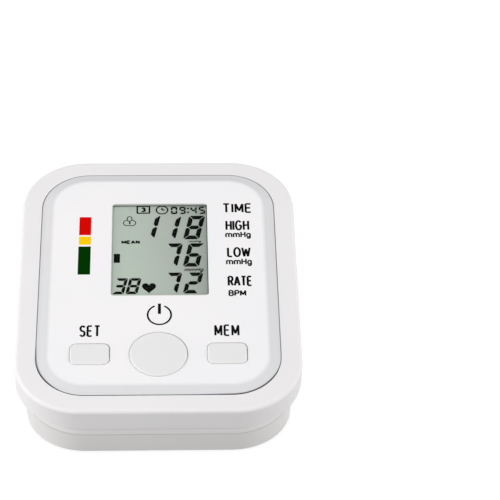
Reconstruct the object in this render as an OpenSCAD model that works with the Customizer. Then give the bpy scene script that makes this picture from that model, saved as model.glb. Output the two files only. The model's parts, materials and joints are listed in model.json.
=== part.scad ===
// Upper arm blood pressure monitor: a two-shell wedge case with an overhanging rim,
// a bevelled face panel, a segment display, three sprung buttons, an air pump with
// its valves and tubes, and a cell bay behind a sliding door.
// Millimetres, +Z up, front edge towards -Y, origin on the table under the middle.

/* [Case] */
// Width across the overhanging rim
case_w = 110; // [108:1:120]
// Length of the rim, measured up the slope
case_l = 134; // [132:0.5:144]
// Plan radius of the rim's corners
case_r = 25.5; // [24:0.5:28]
// Slope of the face above the table
tilt = 7; // [6:0.5:9]
// Height of the rim's front edge above the table
front_h = 26.4; // [26:0.2:30]
// Radius rolled over the rim's outer edge
rim_roll = 1.5; // [0.8:0.1:3]
// Depth of the rim's outer skirt
skirt_h = 9.7; // [9.4:0.1:11]
// Height of the recessed band between the skirt and the parting line
band_h = 6.1; // [5:0.1:7]
// Thickness of the case walls
wall = 2.2; // [1.8:0.1:2.6]
// How far the body stands in from the rim at the sides
side_inset = 3.1; // [2.6:0.1:4]
// How far the body stands in from the rim at the front
front_inset = 1.9; // [1:0.1:3]
// How far the body stands in from the rim at the back
back_inset = 4.3; // [3.4:0.1:5]
// Plan radius of the body's corners
body_r = 24; // [22:0.2:25]
// Draft of the lower case's walls, in degrees
draft = 3; // [0.5:0.5:4]
// Groove left along the parting line
part_gap = 0.3; // [0.1:0.1:0.6]
// Thickness of the lower case's floor
floor_t = 3; // [2.8:0.1:3.6]
// Height of the tongue that locates the two shells
tongue_h = 1.6; // [1:0.1:2.4]

/* [Face panel] */
// Width of the rim's flat land at the sides
rim_side = 8.3; // [7.5:0.1:9.5]
// Width of the rim's flat land at the front and the back
rim_end = 8.25; // [7.5:0.05:9]
// Plan radius of the panel's corners
panel_r = 18.8; // [17:0.2:21]
// Gap between the panel and the rim
seam = 0.35; // [0.2:0.05:0.6]
// Thickness of the panel at its raised middle
panel_t = 2.2; // [2:0.1:2.6]
// Height of the panel's middle above the rim
face_rise = 1; // [0.4:0.1:1.2]
// Width of the bevel round the panel
bevel_w = 4.8; // [3:0.1:6]
// Width of the ledge that the panel sits on
ledge_w = 3; // [2:0.1:3.6]
// Thickness of that ledge
ledge_t = 1.6; // [1.2:0.1:2]

/* [Display] */
// Width of the window
window_w = 38.4; // [34:0.2:40]
// Length of the window
window_l = 50.6; // [46:0.2:52]
// Corner radius of the window
window_r = 1.3; // [0.6:0.1:2]
// Sideways place of the window's middle
window_x = 0.5; // [-1:0.1:1]
// Share of the panel's free length that lies behind the window, in percent
back_share = 36.4; // [30:0.2:42]
// Thickness of the clear lens
lens_t = 1; // [0.8:0.1:1.2]
// How far the lens sits below the panel's surface
lens_drop = 0.1; // [0.1:0.05:0.3]
// Width of the display glass
glass_w = 44; // [42.6:0.2:45]
// Length of the display glass
glass_l = 56; // [54.8:0.2:56.4]
// Thickness of the display glass
glass_t = 2.8; // [2:0.1:3.2]

/* [Buttons] */
// Diameter of the opening for the start button
start_d = 22.7; // [20:0.1:24]
// Share of the panel's free length that lies in front of the start button, in percent
front_share = 14; // [8:0.5:20]
// Width of the openings for the side buttons
side_w = 15.6; // [13:0.1:16]
// Length of the openings for the side buttons
side_l = 10.9; // [9:0.1:12]
// Corner radius of the side buttons' openings
side_r = 2.7; // [1.5:0.1:4]
// Share of the room beside the start button that parts it from the side buttons, in percent
side_share = 82.6; // [60:0.2:90]
// How far up the slope the side buttons stand from the start button
side_up = 0.2; // [-2:0.1:2]
// Gap round each button
button_gap = 0.3; // [0.2:0.05:0.45]
// Height of the buttons above the panel
button_rise = 0.4; // [0:0.1:0.8]
// Travel of the buttons
travel = 0.6; // [0.3:0.1:0.7]

/* [Board] */
// How far the circuit board stands in from the panel at the sides
board_side = 4.7; // [4.2:0.1:5.6]
// How far the circuit board stands in from the panel at the front and the back
board_end = 12.25; // [11.75:0.25:13]
// Depth of the board's top face below the rim
board_drop = 8.4; // [8.2:0.1:8.8]
// Thickness of the board
board_t = 1.6; // [1.2:0.1:1.6]
// Distance of the board's four screws from its sides
screw_side = 3; // [2.6:0.1:3.5]
// Distance of those screws from its ends
screw_end = 3.5; // [3:0.1:4]

/* [Cells] */
// Diameter of a cell
cell_d = 14.3; // [13.9:0.1:14.5]
// Length of a cell over its button
cell_l = 50.4; // [49.4:0.1:50.6]
// Number of cells side by side
cell_count = 4; // [4:1:4]
// Thickness of the bay's walls
bay_wall = 1.4; // [1:0.1:1.5]

/* [Door] */
// Thickness of the sliding door
door_t = 1.8; // [1.6:0.1:2]
// Running gap round the door
door_gap = 0.3; // [0.25:0.05:0.45]
// Width of the door's side tongues
door_tongue = 1.2; // [0.8:0.1:1.3]

/* [Air system] */
// Diameter of the pump's motor can and head
pump_d = 20.4; // [19:0.1:20.5]
// Height of the pump over its flats
pump_flat = 15.4; // [14.5:0.1:16.4]
// Length of the motor can
motor_l = 25; // [22:0.5:25.5]
// Length of the pump head
head_l = 16.5; // [14:0.5:17]
// Room between the pump and the side wall
pump_room = 2.7; // [2.3:0.1:2.9]
// Room between the pump and the cell bay
bay_room = 0.9; // [0.4:0.1:1.4]
// Height of the air line above the table
line_z = 9.5; // [9:0.1:10.5]
// Share of the free length before the cell bay that lies behind the air line, in percent
line_share = 37; // [30:1:45]
// Radius of every hose barb
barb_r = 1.6; // [1.4:0.1:1.8]
// Wall of the silicone tubes
tube_wall = 1.1; // [0.8:0.1:1.3]
// Radius of the bore that takes the cuff's plug
socket_r = 2.6; // [2.2:0.1:3]
// Depth of that bore
socket_depth = 14; // [10:0.5:15]

/* [Feet and screws] */
// Height of the feet below the case
foot_h = 0.8; // [0.6:0.1:1.2]
// Diameter of the feet
foot_d = 9; // [7:0.5:10]
// Depth of the seats that the feet are glued into
foot_seat = 1; // [0.6:0.1:1.4]
// Radius of the case screws' shanks
screw_r = 1.25; // [1:0.05:1.4]
// Length of the case screws' shanks
screw_l = 12; // [9:0.5:13]
// Radius of the screw bosses
boss_r = 3.5; // [3.2:0.1:3.6]

/* [Hidden] */
$fn = 64;
// Clearance between pieces that are assembled and do not move
fit = 0.15;
// Clearance of a shaft that slides in its hole
slip = 0.05;
// Overshoot of a cut past the face that it opens
cut = 1;
// How far a rib or boss runs into the wall that carries it
sink = 0.3;

// Half length of the rim, and where the slanted face plane stands
half_l = case_l / 2;
face_z = front_h + half_l * sin(tilt);
front_reach = (half_l - rim_roll) * cos(tilt) - rim_roll * sin(tilt) + rim_roll;
back_reach = half_l * cos(tilt) + skirt_h * sin(tilt);
face_y = (front_reach - back_reach) / 2;

// Face panel, and the depths below the face plane that hang from it
panel_w = case_w - 2 * rim_side;
panel_l = case_l - 2 * rim_end;
under = face_rise - panel_t;
ledge_under = under - ledge_t;
shelf = -(skirt_h - wall);
part_w = -(skirt_h + band_h);
deep = 60;

// Body outline below the rim
body_w = case_w - 2 * side_inset;
body_l = case_l - front_inset - back_inset;
body_y = (front_inset - back_inset) / 2;

// Display stack
lens_top = face_rise - lens_drop;
lens_low = lens_top - lens_t;
lens_flange = 1.8;
lens_flange_t = 0.4;
rebate_top = lens_low + lens_flange_t + slip;
glass_top = lens_low - 2 * slip;
glass_low = glass_top - glass_t;
holder_wall = 1.6;
holder_reach = (glass_l - window_l) / 2 + fit + holder_wall;
strip_t = 2.4;
strip_room = strip_t + 2 * fit;

// Board stack and switches
board_top = -board_drop;
board_low = board_top - board_t;
board_w = panel_w - 2 * board_side;
board_l = panel_l - 2 * board_end;
board_screw_x = board_w / 2 - screw_side;
board_screw_y = [screw_end - board_l / 2, board_l / 2 - screw_end];
board_boss_r = 2.7;
board_screw_r = 1;
switch_w = 6;
switch_h = 3.5;
plunger_r = 1.7;
plunger_top = board_top + switch_h + travel + 0.2;
plunger_l = 1.9;
flange_w = 1.2;
flange_t = 1;
flange_top = under - 0.3;
stem_r = 2;
button_roll = 0.6;

// Layout of the panel: what is left of its length and width is shared out between the features
free_l = panel_l - 2 * ledge_w - window_l - 2 * holder_reach - start_d - 2 * flange_w;
window_v = panel_l / 2 - ledge_w - holder_reach - window_l / 2 - back_share / 100 * free_l;
start_v = ledge_w + flange_w + start_d / 2 + front_share / 100 * free_l - panel_l / 2;
side_v = start_v + side_up;
side_room = board_screw_x - board_boss_r - start_d / 2 - side_w - 3 * flange_w;
side_x = start_d / 2 + 2 * flange_w + side_w / 2 + side_share / 100 * side_room;

// Sizes of the parts under the board; their places are shares of the board's half sizes
control_size = [12, 14, 1.8];
control_at = [-0.14, 0.3];
memory_size = [4, 5, 1.6];
memory_at = [-0.62, 0.26];
pin_w = 0.5;
pin_l = 1;
can_r = 1.1;
can_l = 6;
crystal_at = [0.24, 0.3];
cap_r = 2.5;
cap_h = 6.5;
cap_pitch = 7;
cap_at = [0.8, -0.69];
buzzer_r = 6;
buzzer_h = 5.5;
buzzer_at = [-0.71, -0.65];

// Case screws: bosses follow the inner corners of the body
boss_in = (body_r - wall - boss_r) * sin(45);
boss_x = body_w / 2 - body_r + boss_in;
boss_front = body_y - body_l / 2 + body_r - boss_in;
boss_back = body_y + body_l / 2 - body_r + boss_in;
boss_places = [[-boss_x, boss_front], [boss_x, boss_front], [-boss_x, boss_back], [boss_x, boss_back]];
head_r = 2.4;
head_t = 1.7;
head_seat = part_w - 5;

// Inside of the lower case
floor_z = foot_h + floor_t;
cell_pitch = cell_d + 0.6;
bay_w = cell_count * cell_pitch + 0.4;
pump_x = body_w / 2 - wall - pump_room - pump_d / 2;
bay_x = pump_x - pump_d / 2 - bay_room - bay_wall - bay_w / 2;
spring_l = 4.2;
plate_t = 0.4;
bay_l = cell_l + spring_l + 3 * plate_t;
cell_z = foot_h + door_t + door_gap + cell_d / 2 + 0.2;
bay_top = cell_z + cell_d / 2 + 0.5;
bay_y1 = back_y(bay_top + bay_wall) - corner_sag(abs(bay_x) + bay_w / 2 + bay_wall) - wall;
bay_y0 = bay_y1 - bay_l;
front_in = boss_world_y(body_y - body_l / 2, foot_h) + come_in(face_w(-half_l, foot_h)) + wall;
door_w = bay_w - 2 * door_gap;
tongue_t = 0.8;
door_y0 = bay_y0 - 2;
door_y1 = back_y(foot_h) + cut;
grip_w = 18;
grip_t = 1;
grip_pitch = 2;
grip_count = 6;
spring_wire = 0.42;

// Air system
pump_y1 = boss_world_y(boss_back, 12) - boss_r - 1.2;
pump_y0 = pump_y1 - motor_l - head_l;
pump_z = floor_z + 0.4 + pump_flat / 2;
sleeve_t = 0.4;
tube_in = barb_r + slip;
tube_r = tube_in + tube_wall;
tube_turn = 7;
barb_l = 6;
manifold_x = 8;
manifold_r = 2.4;
manifold_half = 9;
sensor_x = 7;
sensor_side = 9;
sensor_h = 4.4;
valve_x = 12;
valve_gap = 7;
valve_size = [14, 17, 10];
coil_r = 2.5;
coil_l = 1.5;
bleed_side = 6;
bleed_l = 5;

// The air line lies between the cell bay and the front wall and shares out the free length there
line_taken = 2 * manifold_r + barb_l + valve_gap + valve_size[1] + coil_l;
line_room = bay_y0 - bay_wall - front_in - line_taken;
line_y = bay_y0 - bay_wall - manifold_r - line_share / 100 * line_room;
line_v = face_v(line_y, line_z);
line_w = face_w(line_y, line_z);
sensor_stub = 0.4 * (board_low - sensor_h - line_w - manifold_r);
socket_seat = 0.9;
socket_x = socket_seat - side_x_at(line_y, line_z);
socket_flange_r = 5;
socket_flange_t = 1.2;
socket_body_r = 4.2;

// Feet: the front pair stand just inside the front wall, the back pair beside the door
foot_front_x = 27;
foot_front_y = boss_world_y(body_y - body_l / 2, foot_h) + foot_d / 2 + 1.6;
foot_back_x = body_w / 2 - foot_d / 2 - 4.8;
foot_back_y = boss_world_y(boss_back, foot_h) - head_r - foot_d / 2 - 4;

// Power inlet on the right-hand wall
port_w = 7.8;
port_h = 2.8;
port_l = 5.6;
port_t = 0.35;
port_z = 8.4;
port_y = boss_world_y(body_y - body_l / 2, port_z) + body_r + port_w / 2 + 3.2;
port_x = side_x_at(port_y, port_z);
port_board = [9, 16, 1.2];

// Depth below, and place along, the face plane of a point of the table frame
function face_w(y, z) = -(y - face_y) * sin(tilt) + (z - face_z) * cos(tilt);
function face_v(y, z) = (y - face_y) * cos(tilt) + (z - face_z) * sin(tilt);
// How far the drafted wall has come in at a depth below the parting line
function come_in(w) = max(0, part_w - w) * tan(draft);
// Outer face of the side wall at a point of the table frame
function side_x_at(y, z) = body_w / 2 - come_in(face_w(y, z));
// Outer face of the back wall at a height above the table
function back_y(z) = face_y + (half_l - back_inset) / cos(tilt) - (z - face_z) * tan(tilt)
    - come_in(face_w(half_l, z));
// How far the rounded corner falls back from the wall's line at a distance from the middle
function corner_sag(x) = body_r - sqrt(pow(body_r, 2) - pow(max(0, x - body_w / 2 + body_r), 2));
// Place from front to back of an axis square to the face at a height above the table
function boss_world_y(v, z) = face_y + v / cos(tilt) - (z - face_z) * tan(tilt);

// Puts children in the frame of the slanted face: X across, Y up the slope, Z outwards
module on_face() {
    translate([0, face_y, face_z]) rotate([tilt, 0, 0]) children();
}

module rounded(w, l, r) {
    square([w - 2 * r, l], center = true);
    square([w, l - 2 * r], center = true);
    for (x = [-1, 1], y = [-1, 1]) translate([x * (w / 2 - r), y * (l / 2 - r)]) circle(r);
}

module plate(w, l, r, low, high) {
    translate([0, 0, low]) linear_extrude(high - low) rounded(w, l, r);
}

// Solid with rounded plan corners whose edge has the section of the children,
// drawn from the corners' axis at X = 0 out to X = r
module slab(w, l, r, low, high) {
    translate([r - w / 2, r - l / 2, low]) cube([w - 2 * r, l - 2 * r, high - low]);
    for (turn = [0:3]) {
        reach = turn % 2 == 0 ? w : l;
        run = turn % 2 == 0 ? l : w;
        rotate([0, 0, 90 * turn]) translate([reach / 2 - r, run / 2 - r, 0]) {
            rotate([90, 0, 0]) linear_extrude(run - 2 * r) children();
            rotate_extrude(angle = 90) children();
        }
    }
}

module rolled_section(r, roll, low, high) {
    translate([0, low]) square([r, high - roll - low]);
    translate([0, low]) square([r - roll, high - low]);
    translate([r - roll, high - roll]) circle(roll);
}

module rolled_slab(w, l, r, roll, low, high) {
    slab(w, l, r, low, high) intersection() {
        rolled_section(r, roll, low, high);
        translate([0, low]) square([r, high - low]);
    }
}

// Body outline moved in by an amount, with straight walls or with the draft
module body_plate(inset, low, high) {
    translate([0, body_y, 0]) plate(body_w - 2 * inset, body_l - 2 * inset, body_r - inset, low, high);
}

module body_draft(inset) {
    top = part_w - part_gap / 2;
    r = body_r - inset;
    translate([0, body_y, 0])
        slab(body_w - 2 * inset, body_l - 2 * inset, r, top - deep, top)
            polygon([[0, top], [r, top], [r - deep * tan(draft), top - deep], [0, top - deep]]);
}

module below(z) {
    translate([-case_w, -case_l, z - 2 * deep]) cube([2 * case_w, 2 * case_l, 2 * deep]);
}

module upper_case() {
    color("white") on_face() {
        difference() {
            union() {
                rolled_slab(case_w, case_l, case_r, rim_roll, -skirt_h, 0);
                body_plate(0, part_w + part_gap / 2, shelf);
                body_plate(wall / 2 + fit, part_w - tongue_h, shelf);
            }
            plate(panel_w + 2 * seam, panel_l + 2 * seam, panel_r + seam, under, cut);
            plate(panel_w - 2 * ledge_w, panel_l - 2 * ledge_w, panel_r - ledge_w, ledge_under - cut, cut);
            plate(case_w - 2 * wall, case_l - 2 * wall, case_r - wall, shelf, ledge_under);
            body_plate(wall, part_w - deep, shelf + cut);
        }
        case_bosses();
        rim_ribs();
    }
}

module case_bosses() {
    for (p = boss_places) translate([p[0], p[1], part_w]) difference() {
        cylinder(r = boss_r, h = ledge_under + sink - part_w);
        translate([0, 0, -cut]) cylinder(r = screw_r + slip, h = screw_l - 5 + 2 * cut);
    }
}

// Ribs under the ledge that stiffen the rim between its bosses
module rim_ribs() {
    rib_t = 1.4;
    for (x = [-1, 1], y = [-1, 0, 1])
        translate([x * (panel_w / 2 + seam) - rib_t, y * panel_l / 4 - rib_t / 2, shelf - sink])
            cube([2 * rib_t, rib_t, ledge_under - shelf + 2 * sink]);
}

module face_panel() {
    steps = 10;
    r = panel_r;
    color("white") on_face() {
        difference() {
            slab(panel_w, panel_l, r, under, face_rise) polygon(concat(
                [[0, face_rise], [0, under], [r, under]],
                [for (i = [0:steps]) bevel_point(r, i / steps)]));
            translate([window_x, window_v, 0]) {
                plate(window_w, window_l, window_r, under - cut, face_rise + cut);
                plate(window_w + 2 * lens_flange, window_l + 2 * lens_flange, window_r + lens_flange,
                    under - cut, rebate_top);
                translate([-glass_w / 2 - fit, -glass_l / 2 - fit, under - cut])
                    cube([glass_w + 2 * fit, glass_l + 2 * fit, lens_low - slip - under + cut]);
            }
            translate([0, start_v, under - cut]) cylinder(d = start_d, h = panel_t + 2 * cut);
            for (x = [-1, 1]) translate([x * side_x, side_v, 0])
                plate(side_w, side_l, side_r, under - cut, face_rise + cut);
        }
        board_bosses();
    }
}

// The bevel leaves the edge and meets the middle gently and is steepest half way
function bevel_point(r, t) =
    [r - bevel_w * t, face_rise * (t - 0.6 * sin(360 * t) / (2 * PI))];

module board_bosses() {
    for (x = [-1, 1], y = board_screw_y) translate([x * board_screw_x, y, board_top]) difference() {
        cylinder(r = board_boss_r, h = under + sink - board_top);
        translate([0, 0, -cut]) cylinder(r = board_screw_r + slip, h = 5 + cut);
    }
}

module lens() {
    color([0.8, 0.85, 0.82, 0.4]) on_face() translate([window_x, window_v, 0]) {
        plate(window_w - 2 * fit, window_l - 2 * fit, window_r - fit, lens_low, lens_top);
        plate(window_w + 2 * lens_flange - 2 * fit, window_l + 2 * lens_flange - 2 * fit,
            window_r + lens_flange - fit, lens_low, lens_low + lens_flange_t);
    }
}

module display_glass() {
    color("darkseagreen") on_face() translate([window_x, window_v, glass_low]) {
        translate([-glass_w / 2, -glass_l / 2, glass_t / 2]) cube([glass_w, glass_l, glass_t / 2]);
        translate([-glass_w / 2, strip_room - glass_l / 2, 0])
            cube([glass_w, glass_l - 2 * strip_room, glass_t / 2]);
    }
}

// Frame round the glass, with a rail beside each contact strip's pocket
module display_holder() {
    lip = 1;
    rail = 1;
    w = glass_w + 2 * fit;
    l = glass_l + 2 * fit;
    color("gainsboro") on_face() translate([window_x, window_v, board_top]) difference() {
        linear_extrude(under - board_top) square([w + 2 * holder_wall, l + 2 * holder_wall], center = true);
        translate([0, 0, -cut]) linear_extrude(deep)
            square([w - 2 * lip, l - 2 * (strip_room + rail)], center = true);
        translate([0, 0, glass_low - board_top]) linear_extrude(deep) square([w, l], center = true);
        for (y = [-1, 1]) translate([0, y * (l - strip_room) / 2, -cut])
            linear_extrude(deep) square([w - 2 * lip, strip_room], center = true);
    }
}

module contact_strips() {
    color([0.15, 0.15, 0.16]) on_face() translate([window_x, window_v, board_top])
        for (y = [-1, 1]) translate([0, y * (glass_l + 2 * fit - strip_room) / 2, 0])
            linear_extrude(glass_low + glass_t / 2 - board_top)
                square([glass_w - 4, strip_t], center = true);
}

module main_board() {
    color("seagreen") on_face() difference() {
        plate(board_w, board_l, 2, board_low, board_top);
        for (x = [-1, 1], y = board_screw_y) translate([x * board_screw_x, y, board_low - cut])
            cylinder(r = board_screw_r + 0.3, h = board_t + 2 * cut);
    }
}

// Pan-head screw with a cross slot, standing on its shank with its head seat at Z = 0
module pan_screw(r, l, head) {
    slot = head / 3;
    difference() {
        union() {
            cylinder(r = r, h = l);
            translate([0, 0, -head_t]) cylinder(r = head, h = head_t);
        }
        for (turn = [0, 90]) rotate([0, 0, turn])
            translate([-head * 0.7, -slot / 2, -head_t - cut]) cube([head * 1.4, slot, cut + head_t / 2]);
    }
}

module board_screws() {
    color("silver") on_face() for (x = [-1, 1], y = board_screw_y)
        translate([x * board_screw_x, y, board_low]) pan_screw(board_screw_r, board_t + 4, 1.9);
}

// Part soldered under the board, placed by shares of the board's half sizes
module under_board(at, h) {
    on_face() translate([at[0] * board_w / 2, at[1] * board_l / 2, board_low - h]) children();
}

module chip(size, pins) {
    pitch = size[1] / pins;
    lift = size[2] / 6;
    translate([-size[0] / 2, -size[1] / 2, lift]) cube([size[0], size[1], size[2] - lift]);
    for (x = [-1, 1], i = [0:pins - 1])
        translate([x * (size[0] + pin_l) / 2, (i + 0.5) * pitch - size[1] / 2, (size[2] + lift) / 2])
            cube([pin_l, pin_w, size[2] - lift], center = true);
}

module control_chip() {
    color([0.12, 0.12, 0.13]) under_board(control_at, control_size[2]) chip(control_size, 12);
}

module memory_chip() {
    color([0.12, 0.12, 0.13]) under_board(memory_at, memory_size[2]) chip(memory_size, 4);
}

module crystal() {
    lead_r = can_r / 5;
    color("silver") under_board(crystal_at, 2 * can_r) translate([0, can_l / 2, can_r]) rotate([90, 0, 0]) {
        cylinder(r = can_r, h = can_l);
        for (x = [-2, 2]) translate([x * lead_r, 0, can_l - lead_r]) cylinder(r = lead_r, h = can_l / 3);
    }
}

module capacitors() {
    color("dimgray") under_board(cap_at, cap_h) for (x = [-1, 1]) translate([x * cap_pitch / 2, 0, 0]) {
        cylinder(r = cap_r, h = 0.97 * cap_h);
        cylinder(r = 0.88 * cap_r, h = cap_h);
    }
}

module buzzer() {
    color([0.12, 0.12, 0.13]) under_board(buzzer_at, buzzer_h) difference() {
        cylinder(r = buzzer_r, h = buzzer_h);
        translate([0, 0, -cut]) cylinder(r = buzzer_r / 6, h = buzzer_h / 3 + cut);
    }
}

// Low tactile switch on the board: a housing with four legs and a bored crown
module switch_at(x, y) {
    on_face() translate([x, y, board_top]) difference() {
        union() {
            translate([-switch_w / 2, -switch_w / 2, 0]) cube([switch_w, switch_w, switch_h - 0.3]);
            cylinder(r = plunger_r + 0.6, h = switch_h);
            for (sx = [-1, 1], sy = [-1, 1]) translate([sx * (switch_w / 2 + 0.35), sy * 2.2, 0.9])
                cube([0.8, 0.7, 1.8], center = true);
        }
        translate([0, 0, switch_h - plunger_l - 0.4]) cylinder(r = plunger_r + slip, h = deep);
    }
}

module start_switch() {
    color("dimgray") switch_at(0, start_v);
}

module set_switch() {
    color("dimgray") switch_at(-side_x, side_v);
}

module memory_switch() {
    color("dimgray") switch_at(side_x, side_v);
}

module plunger_at(x, y) {
    on_face() translate([x, y, plunger_top - plunger_l]) cylinder(r = plunger_r, h = plunger_l);
}

module start_plunger() {
    color("black") plunger_at(0, start_v);
}

module set_plunger() {
    color("black") plunger_at(-side_x, side_v);
}

module memory_plunger() {
    color("black") plunger_at(side_x, side_v);
}

module stem() {
    translate([0, 0, plunger_top]) cylinder(r = stem_r, h = flange_top - flange_t / 2 - plunger_top);
}

module start_button() {
    r = start_d / 2 - button_gap;
    top = face_rise + button_rise;
    color("whitesmoke") on_face() translate([0, start_v, 0]) {
        rotate_extrude() intersection() {
            rolled_section(r, button_roll, flange_top - flange_t / 2, top);
            translate([0, -deep]) square([r, 2 * deep]);
        }
        translate([0, 0, flange_top - flange_t]) cylinder(r = start_d / 2 + flange_w, h = flange_t);
        stem();
    }
}

module side_button(x) {
    w = side_w - 2 * button_gap;
    l = side_l - 2 * button_gap;
    on_face() translate([x, side_v, 0]) {
        rolled_slab(w, l, side_r - button_gap, button_roll, flange_top - flange_t / 2,
            face_rise + button_rise);
        plate(side_w + 2 * flange_w, side_l + 2 * flange_w, side_r, flange_top - flange_t, flange_top);
        stem();
    }
}

module set_button() {
    color("whitesmoke") side_button(-side_x);
}

module memory_button() {
    color("whitesmoke") side_button(side_x);
}

module barb(l) {
    difference() {
        cylinder(r = barb_r, h = l);
        translate([0, 0, -cut]) cylinder(r = barb_r / 2, h = l + 2 * cut);
    }
}

module tube(l) {
    difference() {
        cylinder(r = tube_r, h = l);
        translate([0, 0, -cut]) cylinder(r = tube_in, h = l + 2 * cut);
    }
}

module pressure_sensor() {
    color("lightgray") on_face() translate([sensor_x, line_v, board_low - sensor_h]) {
        translate([-sensor_side / 2, -sensor_side / 2, 0]) cube([sensor_side, sensor_side, sensor_h]);
        translate([0, 0, -sensor_stub]) cylinder(r = barb_r, h = sensor_stub);
    }
}

// Round can with two flats, lying along Y from the origin
module flat_can(r, flat, l) {
    rotate([-90, 0, 0]) intersection() {
        cylinder(r = r, h = l);
        translate([-r - cut, -flat / 2, -cut]) cube([2 * (r + cut), flat, l + 2 * cut]);
    }
}

module pump_motor() {
    color("silver") translate([pump_x, pump_y0 + head_l, pump_z]) {
        flat_can(pump_d / 2, pump_flat, motor_l - 1);
        translate([0, motor_l - 1, 0]) rotate([-90, 0, 0]) cylinder(r = 3, h = 1);
        for (x = [-1, 1]) translate([x * 5 - 0.8, motor_l - 1, -0.2]) cube([1.6, 1.8, 0.4]);
    }
}

module pump_head() {
    nozzle_drop = line_z - pump_z;
    color("ivory") translate([pump_x, pump_y0, pump_z]) {
        flat_can(pump_d / 2 - 0.4, pump_flat, head_l - 6);
        translate([0, head_l - 6, 0]) flat_can(pump_d / 2, pump_flat, 6);
        translate([0, 0, nozzle_drop]) rotate([90, 0, 0]) barb(barb_l);
    }
}

module pump_sleeve() {
    color([0.2, 0.2, 0.2]) translate([pump_x, pump_y0 + head_l + 4, pump_z]) difference() {
        flat_can(pump_d / 2 + sleeve_t, pump_flat + 2 * sleeve_t, motor_l - 10);
        translate([0, -cut, 0]) flat_can(pump_d / 2, pump_flat, motor_l);
    }
}

module exhaust_valve() {
    color("steelblue") translate([valve_x, line_y - barb_l - valve_gap, line_z]) {
        translate([-valve_size[0] / 2, -valve_size[1], -valve_size[2] / 2]) cube(valve_size);
        rotate([-90, 0, 0]) barb(barb_l - 1);
        translate([0, -valve_size[1], 0]) rotate([90, 0, 0]) cylinder(r = coil_r, h = coil_l);
    }
}

module bleed_valve() {
    color("darkorange") translate([manifold_x - bleed_side, line_y - manifold_r, line_z])
        rotate([90, 0, 0]) {
            cylinder(r = bleed_l * 0.6, h = bleed_l);
            cylinder(r = bleed_l * 0.28, h = bleed_l * 1.6);
        }
}

module air_manifold() {
    color("ivory") {
        translate([manifold_x - manifold_half, line_y, line_z]) rotate([0, 90, 0]) difference() {
            cylinder(r = manifold_r, h = 2 * manifold_half);
            translate([0, 0, -cut]) cylinder(r = barb_r / 2, h = 2 * (manifold_half + cut));
        }
        translate([manifold_x + manifold_half, line_y, line_z]) rotate([0, 90, 0]) barb(barb_l);
        translate([manifold_x - manifold_half, line_y, line_z]) rotate([0, -90, 0]) barb(barb_l);
        translate([valve_x, line_y - manifold_r + 0.4, line_z]) rotate([90, 0, 0]) barb(barb_l - 2);
        on_face() translate([sensor_x, line_v, line_w + manifold_r - 0.4]) barb(sensor_stub + 0.4);
    }
}

module socket_tube() {
    from = socket_x + socket_depth + wall + 1;
    color("lightgray") translate([from, line_y, line_z]) rotate([0, 90, 0])
        tube(manifold_x - manifold_half - from - fit);
}

module pump_tube() {
    turn_r = tube_turn;
    start_x = manifold_x + manifold_half + fit;
    run_x = pump_x - turn_r - start_x;
    run_y = pump_y0 - fit - line_y - turn_r;
    color("lightgray") translate([0, 0, line_z]) difference() {
        union() {
            translate([start_x, line_y, 0]) rotate([0, 90, 0]) cylinder(r = tube_r, h = run_x);
            translate([pump_x - turn_r, line_y + turn_r, 0]) rotate([0, 0, -90])
                rotate_extrude(angle = 90) translate([turn_r, 0]) circle(tube_r);
            translate([pump_x, line_y + turn_r, 0]) rotate([-90, 0, 0]) cylinder(r = tube_r, h = run_y);
        }
        translate([start_x - cut, line_y, 0]) rotate([0, 90, 0]) cylinder(r = tube_in, h = run_x + cut);
        translate([pump_x - turn_r, line_y + turn_r, 0]) rotate([0, 0, -90])
            rotate_extrude(angle = 90) translate([turn_r, 0]) circle(tube_in);
        translate([pump_x, line_y + turn_r, 0]) rotate([-90, 0, 0]) cylinder(r = tube_in, h = run_y + cut);
    }
}

module valve_tube() {
    from = line_y - manifold_r - fit;
    color("lightgray") translate([valve_x, from, line_z]) rotate([90, 0, 0])
        tube(barb_l + valve_gap - manifold_r - 2 * fit);
}

module sensor_tube() {
    low = line_w + manifold_r + fit;
    color("lightgray") on_face() translate([sensor_x, line_v, low])
        tube(board_low - sensor_h - fit - low);
}

// Bored inlet with a flange outside the wall and a barb inside
module air_socket() {
    color("silver") translate([socket_x, line_y, line_z]) rotate([0, 90, 0]) difference() {
        union() {
            translate([0, 0, -socket_flange_t]) cylinder(r = socket_flange_r, h = socket_flange_t);
            cylinder(r = socket_body_r, h = socket_depth + 1);
            cylinder(r = barb_r, h = socket_depth + wall + 1 + barb_l);
        }
        translate([0, 0, -socket_flange_t - cut]) cylinder(r = socket_r, h = socket_depth + cut);
        cylinder(r = barb_r / 2, h = deep);
    }
}

module socket_seal() {
    color("black") translate([socket_x + wall + 1.6, line_y, line_z]) rotate([0, 90, 0]) difference() {
        cylinder(r = socket_body_r + 1.2, h = 1.6);
        translate([0, 0, -cut]) cylinder(r = socket_body_r + slip, h = 1.6 + 2 * cut);
    }
}

module power_board() {
    color("seagreen") translate([port_x - wall - 0.6 - port_board[0], port_y - port_board[1] / 2,
        port_z - port_h / 2 - port_board[2]]) cube(port_board);
}

module power_port() {
    color("silver") translate([port_x - 0.4 - port_l, port_y - port_w / 2, port_z - port_h / 2])
        difference() {
            cube([port_l, port_w, port_h]);
            translate([1, port_t, port_t]) cube([port_l, port_w - 2 * port_t, port_h - 2 * port_t]);
        }
}

module port_tongue() {
    color("black") translate([port_x + 0.6 - port_l, port_y - port_w / 2 + 1.2, port_z - 0.1])
        cube([port_l - 1.8, port_w - 2.4, 0.7]);
}

function cell_x(i) = bay_x + (i - (cell_count - 1) / 2) * cell_pitch;

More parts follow.
